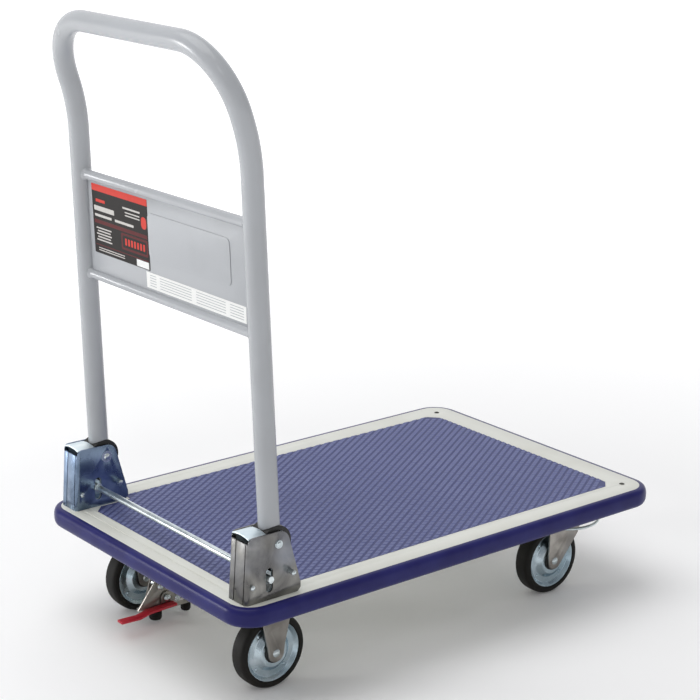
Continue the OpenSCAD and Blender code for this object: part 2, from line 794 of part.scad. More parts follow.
module plate_front(side) {
    color("#9aa0a2") translate([side_sign(side) * wheel_x, kingpin_y, caster_h]) difference() {
        union() {
            top_plate();
            translate([0, 0, -plate_t - 4.5]) cylinder(r1 = 26, r2 = 30, h = 4.5 + eps, $fn = 64);
        }
        bolt_places() cylinder(d = bolt_d + 0.4, h = 3 * plate_t, center = true);
        cylinder(d = kingpin_d, h = 30, center = true);
    }
}

// A wire ring round a swivel fork, on two wire posts from the top plate
module guard_ring(side) {
    s = side_sign(side);
    color("#b8bec1") translate([s * wheel_x, kingpin_y, 0]) {
        translate([0, 0, ring_z]) rotate_extrude($fn = 96) translate([ring_r, 0]) circle(ring_wire / 2);
        for (a = [ring_post, -ring_post])
            translate([-s * ring_r * cos(a), ring_r * sin(a), ring_z])
                cylinder(d = ring_wire - 0.6, h = caster_h - plate_t - ring_z);
    }
}

module kingpin(side) {
    color("#b8bec1") translate([side_sign(side) * wheel_x, kingpin_y, 0]) {
        translate([0, 0, crown_z0 - 4.2]) cylinder(d = kingpin_d, h = caster_h + 6 - crown_z0 + 4.2);
        translate([0, 0, crown_z0 - 8]) cylinder(d = 20, h = 8 - race_gap);
        translate([0, 0, caster_h]) cylinder(d = kingpin_d + 6, h = 6);
    }
}

// Side outline of a swivel fork, the kingpin's axis at 0
module swivel_leg_outline() {
    translate([-trail, wheel_r]) circle(eye_r);
    polygon([
        [-trail - eye_r, wheel_r], [-trail - eye_r + 1, wheel_r + 44], [-27, crown_z0 + 3],
        [22, crown_z0 + 3], [17, wheel_r + 45], [13.5, wheel_r + 34],
        [-trail + 9.5, wheel_r - 7.4], [-trail, wheel_r]
    ]);
}

module fork_front(side) {
    color("#9aa0a2") translate([side_sign(side) * wheel_x, kingpin_y, 0]) difference() {
        union() {
            for (s = [-1, 1])
                side_plate(min(s * fork_in, s * fork_w / 2), max(s * fork_in, s * fork_w / 2))
                    swivel_leg_outline();
            block([-fork_w / 2, -27, crown_z0], [fork_w / 2, 22, crown_z0 + 3]);
            translate([0, 0, crown_z0]) cylinder(r1 = 24, r2 = 31, h = crown_z1 - crown_z0, $fn = 64);
        }
        cylinder(d = kingpin_d + 2 * pin_clear, h = 2 * caster_h, center = true);
        translate([0, -trail, wheel_r]) x_bar(axle_d / 2, -fork_w, fork_w);
    }
}

module caster_bolts() {
    color("#b8bec1") for (s = [-1, 1], y = [rear_axle_y, kingpin_y])
        translate([s * wheel_x, y, caster_h]) bolt_places() {
            translate([0, 0, -plate_t]) mirror([0, 0, 1]) hex_bolt(bolt_d, head_af, head_h, plate_t + 11);
            translate([0, 0, channel_t]) cylinder(d = head_af / cos(30), h = 6.5, $fn = 6);
        }
}

// The middle of a wheel, where its axle is
function axle_place(front, side) = [
    side_sign(side) * wheel_x, front ? front_axle_y : rear_axle_y, wheel_r
];

// An axle bolt: a hexagon head on the inner leg and a nut on the outer one
module axle(front, side) {
    half = fork_w / 2;
    color("#b8bec1") translate(axle_place(front, side)) {
        x_bar(axle_d / 2, -half - 1, half + 1);
        for (t = [-1, 1]) translate([t * half, 0, 0]) rotate([0, t * 90, 0]) dome(axle_d * 0.7, 2.2);
    }
}

// One pressed half of the disc, radius against distance from the middle plane
module disc_half() {
    outer = [
        [bush_r, 13], [20, 13], [24, 9], [27, 7], [35, 7], [38, 10.5],
        [disc_d / 2 - 0.8, 12], [disc_d / 2, 10.8]
    ];
    inner = [
        [disc_d / 2, 6], [disc_d / 2 - disc_t, 6], [disc_d / 2 - disc_t, 9.6], [36.5, 8], [34, 5.5],
        [34, 0], [27, 0], [27, 5.5], [23.2, 7.2], [19.4, 11.5], [bush_r, 11.5]
    ];
    rotate_extrude($fn = 96) polygon(concat(outer, inner));
}

module disc(front, side) {
    color("#b4c0c6") translate(axle_place(front, side)) {
        for (m = [0, 1]) mirror([m, 0, 0]) rotate([0, 90, 0]) {
            disc_half();
            for (a = [0 : 90 : 270]) rotate(a + 40) translate([rivet_circle, 0, 7 - eps]) dome(2.4, 1.3);
        }
    }
}

module tyre(front, side) {
    half = tyre_w / 2;
    r = tyre_round;
    color("#1b1b1b") translate(axle_place(front, side)) rotate([0, 90, 0]) rotate_extrude($fn = 96)
        difference() {
            union() {
                translate([disc_d / 2 - disc_t, -half])
                    square([wheel_r - r - disc_d / 2 + disc_t, tyre_w]);
                translate([disc_d / 2 - disc_t, -half + r])
                    square([wheel_r - disc_d / 2 + disc_t, tyre_w - 2 * r]);
                for (s = [-1, 1]) translate([wheel_r - r, s * (half - r)]) circle(r, $fn = 32);
            }
            // the seat for the two pressed halves
            for (s = [-1, 1]) translate([0, s > 0 ? 6 : -half - 1])
                square([disc_d / 2, half - 6 + 1]);
        }
}

module bush(front, side) {
    half = fork_in - 0.4;
    color("#161616") translate(axle_place(front, side)) difference() {
        x_bar(bush_r, -half, half);
        x_bar(axle_d / 2 + pin_clear, -half - 1, half + 1);
    }
}

// ---- floor lock ----------------------------------------------------------------------

// Two side plates under a bolted top; the plate beside the strap has a longer tail
module lock_carrier() {
    top_y = [lock_y - 6, lock_y + 36];
    color("#8f9596") translate([-lock_x, 0, 0]) difference() {
        union() {
            for (s = [-1, 1], tail = s > 0 ? 44 : 20)
                side_plate(min(s * lock_in, s * lock_w / 2), max(s * lock_in, s * lock_w / 2))
                    polygon([
                        [lock_y - tail, lock_bottom], [lock_y + 27, lock_bottom],
                        [lock_y + 36, lock_bottom + 22], [lock_y + 36, caster_h],
                        [lock_y - 6, caster_h], [lock_y - 6, 78]
                    ]);
            block([-lock_w / 2, top_y[0], caster_h - lock_t], [lock_w / 2, top_y[1], caster_h]);
        }
        for (p = lock_pins) translate([0, p[0], p[1]]) x_bar(lock_pin_d / 2, -lock_w, lock_w);
    }
}

// Riveted pins across the side plates
module lock_bolts() {
    half = lock_w / 2;
    color("#c4ccd0") for (p = lock_pins) translate([-lock_x, p[0], p[1]]) {
        long = p == lock_pins[0] ? pedal_w / 2 : 0;
        x_bar(lock_pin_d / 2, -half, half + long);
        translate([half + long, 0, 0]) rotate([0, 90, 0]) dome(lock_pin_d * 0.65, 2.4);
        translate([-half, 0, 0]) rotate([0, -90, 0]) dome(lock_pin_d * 0.65, 2.4);
    }
}

// The bar that the rubber pads hang from, and the stem that the bolts guide
module lock_foot() {
    half = lock_in - 0.5;
    color("#7e8485") translate([-lock_x, 0, 0]) {
        block([-half, lock_y - 34, foot_z0], [half, pads[1][0] + pads[1][1] + 1, foot_z1]);
        block([-half, stem_y - stem_half, foot_z1 - eps], [half, stem_y + stem_half, 76]);
    }
}

module lock_pads() {
    color("#171717") for (p = pads) translate([-lock_x, p[0], 0]) {
        translate([0, 0, pad_gap]) cylinder(r1 = p[1] - 1.2, r2 = p[1], h = 3);
        translate([0, 0, pad_gap + 3 - eps]) cylinder(r = p[1], h = foot_z0 - pad_gap - 3 + eps);
    }
}

// The red strap: a foot plate at the rear, a step and a level run to the arm
module pedal_strap() {
    x0 = -lock_x + lock_w / 2 + 1.4;
    low = foot_z1 - 1.6;
    high = foot_z1 + 1.8;
    line = [
        [lock_y - 78, low + 0.6], [lock_y - 49, low - 0.4], [lock_y - 31, high], [lock_y + 11, high + 1.4]
    ];
    color("#aa232d") {
        side_plate(x0, x0 + pedal_w) polygon(concat(
            line, [for (i = [len(line) - 1 : -1 : 0]) line[i] + [0, pedal_t]]
        ));
        // the finger that presses the foot bar down
        block([-lock_x, lock_y - 30, foot_z1 + finger_gap],
              [x0 + eps, lock_y - 24, foot_z1 + finger_gap + pedal_t]);
    }
}

// The plate that hangs the strap on its pivot bolt
module pedal_arm() {
    x0 = -lock_x + lock_w / 2 + 0.5;
    seat = foot_z1 + 1.8 + pedal_t;
    color("#8f9596") difference() {
        side_plate(x0, x0 + lock_t) {
            translate([lock_pin_y, lock_pin_z]) circle(8);
            translate([lock_pin_y - 8, seat + 1.4]) square([16, lock_pin_z - seat - 1.4]);
        }
        translate([0, lock_pin_y, lock_pin_z]) x_bar(lock_pin_d / 2 + pin_clear, -lock_x, 0);
    }
}

// ---- nodes ---------------------------------------------------------------------------

deck_pan();
deck_mat();
bumper();
front_channel();
rear_channel();
corner_screws();
bracket("left");  // bracket_left
bracket("right");  // bracket_right
stop_plate("left");  // stop_plate_left
stop_plate("right");  // stop_plate_right
bracket_rivets();
bracket_bolts();
pivot_pin("left");  // pivot_pin_left
pivot_pin("right");  // pivot_pin_right
latch_spring("left");  // latch_spring_left
latch_spring("right");  // latch_spring_right
handle_tube();
crossbar_upper();
crossbar_lower();
back_panel();
product_label();
notice_label();
pivot_block("left");  // pivot_block_left
pivot_block("right");  // pivot_block_right
release_rod();
rod_clips();
caster_bolts();
lock_carrier();
lock_bolts();
lock_foot();
lock_pads();
pedal_strap();
pedal_arm();
for (side = SIDES) {
    fork_rear(side);
    plate_front(side);
    guard_ring(side);
    kingpin(side);
    fork_front(side);
    for (front = [false, true]) {
        place = str(front ? "front_" : "rear_", side);
        axle(front, side);
        disc(front, side);
        tyre(front, side);
        bush(front, side);
    }
}
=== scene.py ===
import json
import math

import bpy
from mathutils import Matrix, Vector

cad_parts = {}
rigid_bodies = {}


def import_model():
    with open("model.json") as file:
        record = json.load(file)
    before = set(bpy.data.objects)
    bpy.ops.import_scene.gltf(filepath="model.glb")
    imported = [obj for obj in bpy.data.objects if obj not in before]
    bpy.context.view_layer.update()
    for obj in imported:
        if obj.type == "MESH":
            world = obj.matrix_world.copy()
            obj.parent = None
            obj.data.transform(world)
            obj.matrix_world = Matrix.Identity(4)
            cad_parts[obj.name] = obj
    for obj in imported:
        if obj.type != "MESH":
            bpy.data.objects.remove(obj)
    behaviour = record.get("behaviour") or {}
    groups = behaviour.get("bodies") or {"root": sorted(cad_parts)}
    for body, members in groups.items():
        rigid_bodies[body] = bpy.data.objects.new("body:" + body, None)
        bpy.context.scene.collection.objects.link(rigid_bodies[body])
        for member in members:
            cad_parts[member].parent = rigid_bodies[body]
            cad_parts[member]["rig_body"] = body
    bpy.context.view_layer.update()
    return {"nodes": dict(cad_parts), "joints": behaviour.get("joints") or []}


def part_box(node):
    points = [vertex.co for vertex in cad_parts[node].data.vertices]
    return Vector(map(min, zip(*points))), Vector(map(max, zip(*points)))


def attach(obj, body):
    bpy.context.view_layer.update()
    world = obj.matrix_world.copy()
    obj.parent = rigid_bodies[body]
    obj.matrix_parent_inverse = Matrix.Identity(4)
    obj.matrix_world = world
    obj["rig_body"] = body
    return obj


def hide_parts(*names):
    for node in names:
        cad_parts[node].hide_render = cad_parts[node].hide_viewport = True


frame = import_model()
nodes = frame["nodes"]
MM = 0.001

# ---- camera ------------------------------------------------------------------------------
# A long lens, low and from behind the truck's right corner. The lens is shifted a little,
# so that uprights stay upright and the truck sits in the frame.
azimuth, elevation = math.radians(52.97), math.radians(15.47)
toward_camera = Vector((
    math.sin(azimuth) * math.cos(elevation),
    -math.cos(azimuth) * math.cos(elevation),
    math.sin(elevation),
))
camera_data = bpy.data.cameras.new("camera")
camera = bpy.data.objects.new("camera", camera_data)
bpy.context.scene.collection.objects.link(camera)
camera.location = (1.9722, -1.6248, 1.1369)
camera.rotation_euler = toward_camera.to_track_quat("Z", "Y").to_euler()
camera_data.sensor_width = 36
camera_data.lens = 100.75
camera_data.shift_x = 0.109
camera_data.shift_y = -0.0686
camera_data.clip_end = 100
bpy.context.scene.camera = camera

# ---- floor and light ---------------------------------------------------------------------
# A white studio floor that reaches past the view, and three soft lamps: a wide one overhead,
# one low down to the left behind the handle, and a small one high on the right.


def linear(code):
    """An sRGB hex colour as the linear values that Blender takes."""
    srgb = [int(code[i:i + 2], 16) / 255 for i in (1, 3, 5)]
    return [c / 12.92 if c <= 0.04045 else ((c + 0.055) / 1.055) ** 2.4 for c in srgb] + [1.0]


def add_node(tree, kind, inputs=None, **settings):
    """A shader node with its settings; an input is a value or another node's output."""
    node = tree.nodes.new(kind)
    for key, value in settings.items():
        setattr(node, key, value)
    for key, value in (inputs or {}).items():
        if isinstance(value, bpy.types.NodeSocket):
            tree.links.new(value, node.inputs[key])
        else:
            node.inputs[key].default_value = value
    return node


def new_material(name):
    """An empty material with its output, and the coordinates that its patterns follow."""
    material = bpy.data.materials.new(name)
    material.use_nodes = True
    tree = material.node_tree
    tree.nodes.clear()
    place = add_node(tree, "ShaderNodeTexCoord").outputs["Object"]
    return material, tree, place


def finish_material(tree, shader):
    add_node(tree, "ShaderNodeOutputMaterial", {"Surface": shader.outputs["BSDF"]})


floor_paint, tree, place = new_material("floor_white_matt")
mottle = add_node(tree, "ShaderNodeTexNoise", {"Vector": place, "Scale": 3.0, "Detail": 3.0})
tone = add_node(tree, "ShaderNodeMix", {
    "Factor": mottle.outputs["Fac"], "A": linear("#fbfbfb"), "B": linear("#fdfdfd"),
}, data_type="RGBA")
# beyond the truck the floor glows a little, as it runs into a lit white backdrop
away = add_node(tree, "ShaderNodeVectorMath", {0: place}, operation="LENGTH")
glow = add_node(tree, "ShaderNodeMapRange", {
    "Value": away.outputs["Value"], "From Min": 0.7, "From Max": 2.6, "To Min": 0.03, "To Max": 0.6,
})
finish_material(tree, add_node(tree, "ShaderNodeBsdfPrincipled", {
    "Base Color": tone.outputs["Result"], "Roughness": 0.9, "Specular IOR Level": 0.1,
    "Emission Color": linear("#ffffff"), "Emission Strength": glow.outputs["Result"],
}))
bpy.ops.mesh.primitive_plane_add(size=60, location=(0, 0, -0.0003))
floor = bpy.context.active_object
floor.name = "studio_floor"
floor.data.materials.append(floor_paint)

for lamp, spot, aim, width, height, power in (
    ("lamp_top", (-0.5, -0.8, 3.6), (0, 0, 0.2), 3.0, 3.0, 66),
    ("lamp_left", (-2.6, -3.4, 0.7), (0, 0, 0.2), 0.9, 0.9, 50),
    ("lamp_right", (1.9, -1.9, 2.6), (0, 0, 0.5), 0.25, 0.25, 4),
):
    data = bpy.data.lights.new(lamp, "AREA")
    data.shape = "RECTANGLE"
    data.size, data.size_y, data.energy = width, height, power
    holder = bpy.data.objects.new(lamp, data)
    bpy.context.scene.collection.objects.link(holder)
    holder.location = spot
    holder.rotation_euler = (Vector(spot) - Vector(aim)).to_track_quat("Z", "Y").to_euler()

sky = bpy.data.worlds.new("studio")
sky.use_nodes = True
sky_tree = sky.node_tree
sky_tree.nodes.clear()
# a white backdrop ahead and to the left of the truck, in a dim room
way = add_node(sky_tree, "ShaderNodeTexCoord").outputs["Generated"]
toward_backdrop = add_node(sky_tree, "ShaderNodeVectorMath", {
    0: way, 1: (-0.8, 0.6, 0.05),
}, operation="DOT_PRODUCT")
backdrop = add_node(sky_tree, "ShaderNodeMapRange", {
    "Value": toward_backdrop.outputs["Value"], "From Min": 0.45, "From Max": 0.8,
    "To Min": 0.42, "To Max": 1.02,
})
room = add_node(sky_tree, "ShaderNodeBackground", {
    "Color": linear("#fdfdff"), "Strength": backdrop.outputs["Result"],
})
add_node(sky_tree, "ShaderNodeOutputWorld", {"Surface": room.outputs["Background"]})
bpy.context.scene.world = sky
bpy.context.scene.view_settings.view_transform = "Standard"

# ---- deck pan ----------------------------------------------------------------------------
# One sheet of 1.6 mm steel, pressed into a shallow pan with a raised rim round the mat and
# a groove across the rear, then powder coated in satin cream. The press rounds every edge.


def select_only(*pieces):
    bpy.ops.object.select_all(action="DESELECT")
    for piece in pieces:
        piece.select_set(True)
    bpy.context.view_layer.objects.active = pieces[-1]


def smooth(piece, angle):
    """Smooth shading, but for edges sharper than the angle in degrees."""
    select_only(piece)
    bpy.ops.object.shade_smooth_by_angle(angle=math.radians(angle))


MERGE = 0.000005
FLAT_WITHIN = math.radians(0.6)
SHARP_FROM = 35


def joined_copy(node, name):
    """A copy of a part's mesh with its points merged and its flat faces joined up."""
    piece = bpy.data.objects.new(name, nodes[node].data.copy())
    bpy.context.scene.collection.objects.link(piece)
    piece.data.materials.clear()
    select_only(piece)
    bpy.ops.object.mode_set(mode="EDIT")
    bpy.ops.mesh.select_all(action="SELECT")
    bpy.ops.mesh.remove_doubles(threshold=MERGE)
    bpy.ops.mesh.dissolve_limited(angle_limit=FLAT_WITHIN)
    bpy.ops.object.mode_set(mode="OBJECT")
    return piece


def softened(node, name, radius, segments=2):
    """A joined copy of a part with its edges rounded as real ones are."""
    piece = joined_copy(node, name)
    edge = piece.modifiers.new("edge", "BEVEL")
    edge.width = radius
    edge.segments = segments
    edge.limit_method = "ANGLE"
    edge.angle_limit = math.radians(SHARP_FROM)
    edge.use_clamp_overlap = True
    bpy.ops.object.modifier_apply(modifier=edge.name)
    smooth(piece, SHARP_FROM)
    return piece


def fit(piece, body, slot, material, *replaced):
    """Gives a piece its material and its body, and hides the nodes that it stands for."""
    piece.data.materials.clear()
    piece.data.materials.append(material)
    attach(piece, body)
    if replaced:
        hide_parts(*replaced)


def dress(material, *names):
    """Gives a finish to parts that show as they are."""
    for name in names:
        nodes[name].data.materials.clear()
        nodes[name].data.materials.append(material)


def powder_coat(name, colour, dust, roughness):
    """Powder coat on steel: satin, with a fine orange peel and a little handling dust."""
    material, tree, place = new_material(name)
    dirt = add_node(tree, "ShaderNodeTexNoise", {"Vector": place, "Scale": 14.0, "Detail": 6.0})
    dirt_range = add_node(tree, "ShaderNodeMapRange", {
        "Value": dirt.outputs["Fac"], "From Min": 0.45, "From Max": 0.75, "To Max": 0.35,
    })
    tone = add_node(tree, "ShaderNodeMix", {
        "Factor": dirt_range.outputs["Result"], "A": linear(colour), "B": linear(dust),
    }, data_type="RGBA")
    gloss = add_node(tree, "ShaderNodeMapRange", {
        "Value": dirt.outputs["Fac"], "To Min": roughness - 0.06, "To Max": roughness + 0.08,
    })
    # the peel's cells are about 1.2 mm across
    peel = add_node(tree, "ShaderNodeTexNoise", {"Vector": place, "Scale": 850.0, "Detail": 2.0})
    relief = add_node(tree, "ShaderNodeBump", {
        "Height": peel.outputs["Fac"], "Strength": 0.12, "Distance": 0.0004,
    })
    finish_material(tree, add_node(tree, "ShaderNodeBsdfPrincipled", {
        "Base Color": tone.outputs["Result"], "Roughness": gloss.outputs["Result"],
        "Normal": relief.outputs["Normal"], "IOR": 1.5,
    }))
    return material


cream_paint = powder_coat("cream_powder_coat", "#dadbd3", "#c6c4b7", 0.36)
pan = softened("deck_pan", "deck_pan_pressed", 0.9 * MM)
fit(pan, "deck", "deck_paint", cream_paint, "deck_pan")
dress(cream_paint, "front_channel", "rear_channel")

# ---- mat ---------------------------------------------------------------------------------
# A moulded vinyl sheet set in the pan, covered in low diamond studs in slanted rows, with
# wide grooves between the rows and narrow ones across them. The edges are cut off square.
# A diamond of the pattern is this wide across the deck and this long along it.
DIAMOND = Vector((10.8 * MM, 17.3 * MM))
STUD_PITCH = DIAMOND.length / 2
STUD_BASE = Vector((0.78, 0.94)) * STUD_PITCH
STUD_TOP = Vector((0.5, 0.78)) * STUD_PITCH
STUD_RISE = 0.9 * MM
SIDE_GAP = 0.1 * MM

mat_low, mat_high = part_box("deck_mat")
sheet_top = mat_high.z - STUD_RISE
sheet = joined_copy("deck_mat", "mat_sheet")
for corner in sheet.data.vertices:
    if corner.co.z > sheet_top:
        corner.co.z = sheet_top
top_face = max(sheet.data.polygons, key=lambda face: face.center.z * 10 + face.area)
outline = [sheet.data.vertices[i].co.to_2d() for i in top_face.vertices]


def inside(point):
    """Whether a point is in the mat's outline, once it's moved in to the nearest straight side."""
    x = max(mat_low.x + SIDE_GAP, min(mat_high.x - SIDE_GAP, point.x))
    y = max(mat_low.y + SIDE_GAP, min(mat_high.y - SIDE_GAP, point.y))
    crossings = 0
    for a, b in zip(outline, outline[1:] + outline[:1]):
        if (a.y > y) != (b.y > y):
            crossings += x < a.x + (y - a.y) / (b.y - a.y) * (b.x - a.x)
    return crossings % 2 == 1


middle = (mat_low + mat_high) / 2
reach = (mat_high - mat_low).to_2d().length
count = int(reach / STUD_PITCH) + 8
bpy.ops.object.select_all(action="DESELECT")
bpy.ops.mesh.primitive_cube_add(size=1, location=(0, 0, 0))
studs = bpy.context.active_object
studs.name = "mat_studs"
bpy.ops.object.mode_set(mode="EDIT")
bpy.ops.transform.resize(value=(*STUD_BASE, STUD_RISE))
bpy.ops.mesh.select_mode(type="FACE")
bpy.ops.mesh.select_all(action="DESELECT")
bpy.ops.object.mode_set(mode="OBJECT")
for face in studs.data.polygons:
    face.select = face.normal.z > 0.9
bpy.ops.object.mode_set(mode="EDIT")
bpy.ops.transform.resize(value=(STUD_TOP.x / STUD_BASE.x, STUD_TOP.y / STUD_BASE.y, 1))
bpy.ops.object.mode_set(mode="OBJECT")
for axis in (0, 1):
    row = studs.modifiers.new("row", "ARRAY")
    row.count = count
    row.use_relative_offset = False
    row.use_constant_offset = True
    row.constant_offset_displace = (0, 0, 0)
    row.constant_offset_displace[axis] = STUD_PITCH
    bpy.ops.object.modifier_apply(modifier=row.name)
half = (count - 1) * STUD_PITCH / 2
side_x, side_y = DIAMOND / 2 / STUD_PITCH
slant = Matrix(((side_x, -side_x, 0, 0), (side_y, side_y, 0, 0), (0, 0, 1, 0), (0, 0, 0, 1)))
studs.data.transform(
    Matrix.Translation((middle.x, middle.y, sheet_top + STUD_RISE / 2))
    @ slant @ Matrix.Translation((-half, -half, 0))
)
CORNERS = 8
bpy.ops.object.mode_set(mode="EDIT")
bpy.ops.mesh.select_mode(type="VERT")
bpy.ops.mesh.select_all(action="DESELECT")
bpy.ops.object.mode_set(mode="OBJECT")
for first in range(0, len(studs.data.vertices), CORNERS):
    stud = studs.data.vertices[first:first + CORNERS]
    centre = sum((corner.co.to_2d() for corner in stud), Vector((0, 0))) / CORNERS
    beyond = max(abs(centre.x - middle.x) - (mat_high.x - mat_low.x) / 2,
                 abs(centre.y - middle.y) - (mat_high.y - mat_low.y) / 2)
    off_mat = beyond > STUD_PITCH or not all(inside(corner.co) for corner in stud)
    for corner in stud:
        corner.select = off_mat
bpy.ops.object.mode_set(mode="EDIT")
bpy.ops.mesh.delete(type="VERT")
for spot, outward in (
    (mat_low, (-1, 0, 0)), (mat_high, (1, 0, 0)), (mat_low, (0, -1, 0)), (mat_high, (0, 1, 0)),
):
    bpy.ops.mesh.select_all(action="SELECT")
    bpy.ops.mesh.bisect(
        plane_co=spot - SIDE_GAP / 2 * Vector(outward), plane_no=outward, use_fill=True,
        clear_outer=True)
bpy.ops.object.mode_set(mode="OBJECT")
select_only(studs, sheet)
bpy.ops.object.join()
mat = sheet
mat.name = "mat_studded"

vinyl, tree, place = new_material("blue_grey_moulded_vinyl")
wear = add_node(tree, "ShaderNodeTexNoise", {"Vector": place, "Scale": 9.0, "Detail": 5.0})
wear_range = add_node(tree, "ShaderNodeMapRange", {
    "Value": wear.outputs["Fac"], "From Min": 0.35, "From Max": 0.7,
})
tone = add_node(tree, "ShaderNodeMix", {
    "Factor": wear_range.outputs["Result"], "A": linear("#5f6797"), "B": linear("#6b729f"),
}, data_type="RGBA")
# painted shade: the grooves between the studs are coloured darker the lower they lie, as shade in
# the hollows
height = add_node(tree, "ShaderNodeSeparateXYZ", {"Vector": place})
groove_shade_mask = add_node(tree, "ShaderNodeMapRange", {
    "Value": height.outputs["Z"], "From Min": sheet_top, "From Max": mat_high.z,
})
painted_groove_shade = add_node(tree, "ShaderNodeMix", {
    "Factor": groove_shade_mask.outputs["Result"], "A": linear("#3f4576"), "B": tone.outputs["Result"],
}, data_type="RGBA")
# a fine moulded grain of about 0.4 mm
grain = add_node(tree, "ShaderNodeTexNoise", {"Vector": place, "Scale": 2500.0, "Detail": 1.0})
relief = add_node(tree, "ShaderNodeBump", {
    "Height": grain.outputs["Fac"], "Strength": 0.2, "Distance": 0.0002,
})
gloss = add_node(tree, "ShaderNodeMapRange", {
    "Value": wear.outputs["Fac"], "To Min": 0.48, "To Max": 0.62,
})
finish_material(tree, add_node(tree, "ShaderNodeBsdfPrincipled", {
    "Base Color": painted_groove_shade.outputs["Result"], "Roughness": gloss.outputs["Result"],
    "Normal": relief.outputs["Normal"], "IOR": 1.5,
}))
fit(mat, "deck", "mat", vinyl, "deck_mat")

# ---- bumper ------------------------------------------------------------------------------
# A soft PVC extrusion, half round, stretched round the edge of the pan and welded in a
# ring. It is satin, with a slight draw along its length.
bumper_low, bumper_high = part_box("bumper")
pan_low, pan_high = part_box("deck_pan")
OUT = bumper_high.x - pan_high.x
PAN_CORNER = 30 * MM
bumper_h = bumper_high.z - bumper_low.z
bumper_mid = (bumper_low + bumper_high) / 2
bpy.ops.object.select_all(action="DESELECT")
bpy.ops.mesh.primitive_plane_add(size=1, location=(0, 0, 0))
bumper = bpy.context.active_object
bumper.name = "bumper_extruded"
bpy.ops.object.mode_set(mode="EDIT")
bpy.ops.mesh.select_all(action="SELECT")
bpy.ops.transform.resize(value=(pan_high.x - pan_low.x, pan_high.y - pan_low.y, 1))
bpy.ops.mesh.bevel(offset=PAN_CORNER, segments=20, affect="VERTICES")
bpy.ops.mesh.select_all(action="SELECT")
bpy.ops.mesh.delete(type="ONLY_FACE")
bpy.ops.mesh.select_all(action="SELECT")
# each step is a rise and how far the skin stands out from the pan at that height
STEPS = 14
STEP_UP = 0.001
skin = [
    (-math.copysign(abs(math.cos(math.pi * i / STEPS)) ** 0.8, math.cos(math.pi * i / STEPS)),
     math.sin(math.pi * i / STEPS) ** 0.62 if 0 < i < STEPS else 0.0)
    for i in range(STEPS + 1)
]
bpy.ops.object.mode_set(mode="OBJECT")
ring = [vertex.co.copy() for vertex in bumper.data.vertices]
bpy.ops.object.mode_set(mode="EDIT")
for _ in range(STEPS):
    bpy.ops.mesh.extrude_region_move(TRANSFORM_OT_translate={"value": (0, 0, STEP_UP)})
bpy.ops.object.mode_set(mode="OBJECT")
inner = Vector((pan_high.x - PAN_CORNER, (pan_high.y - pan_low.y) / 2 - PAN_CORNER))
for vertex in bumper.data.vertices:
    rise, out = skin[round(vertex.co.z / STEP_UP)]
    flat = vertex.co.to_2d()
    core = Vector((max(-inner.x, min(inner.x, flat.x)), max(-inner.y, min(inner.y, flat.y))))
    away = (flat - core).normalized()
    place_xy = core + away * (PAN_CORNER + out * OUT) + bumper_mid.to_2d()
    vertex.co = (place_xy.x, place_xy.y, bumper_mid.z + rise * bumper_h / 2)
select_only(bumper)
bpy.ops.object.mode_set(mode="EDIT")
bpy.ops.mesh.select_mode(type="EDGE")
bpy.ops.mesh.select_all(action="DESELECT")
bpy.ops.mesh.select_non_manifold()
bpy.ops.mesh.bridge_edge_loops()
bpy.ops.mesh.select_all(action="SELECT")
bpy.ops.mesh.normals_make_consistent(inside=False)
bpy.ops.object.mode_set(mode="OBJECT")
smooth(bumper, 60)

pvc, tree, place = new_material("navy_soft_pvc")
scuff = add_node(tree, "ShaderNodeTexNoise", {"Vector": place, "Scale": 22.0, "Detail": 6.0})
scuff_range = add_node(tree, "ShaderNodeMapRange", {
    "Value": scuff.outputs["Fac"], "From Min": 0.4, "From Max": 0.72,
})
tone = add_node(tree, "ShaderNodeMix", {
    "Factor": scuff_range.outputs["Result"], "A": linear("#21205c"), "B": linear("#292a69"),
}, data_type="RGBA")
gloss = add_node(tree, "ShaderNodeMapRange", {
    "Value": scuff.outputs["Fac"], "To Min": 0.26, "To Max": 0.4,
})
draw = add_node(tree, "ShaderNodeTexNoise", {"Vector": place, "Scale": 600.0, "Detail": 2.0})
relief = add_node(tree, "ShaderNodeBump", {
    "Height": draw.outputs["Fac"], "Strength": 0.08, "Distance": 0.0003,
})
finish_material(tree, add_node(tree, "ShaderNodeBsdfPrincipled", {
    "Base Color": tone.outputs["Result"], "Roughness": gloss.outputs["Result"],
    "Normal": relief.outputs["Normal"], "IOR": 1.48, "Specular IOR Level": 0.2,
}))
fit(bumper, "deck", "bumper", pvc, "bumper")

# ---- handle brackets ---------------------------------------------------------------------
# Folded steel channels, zinc plated after pressing, with a brighter stop plate riveted
# inside. The plating has cloudy patches, a blue to straw tint and fine rolling lines.


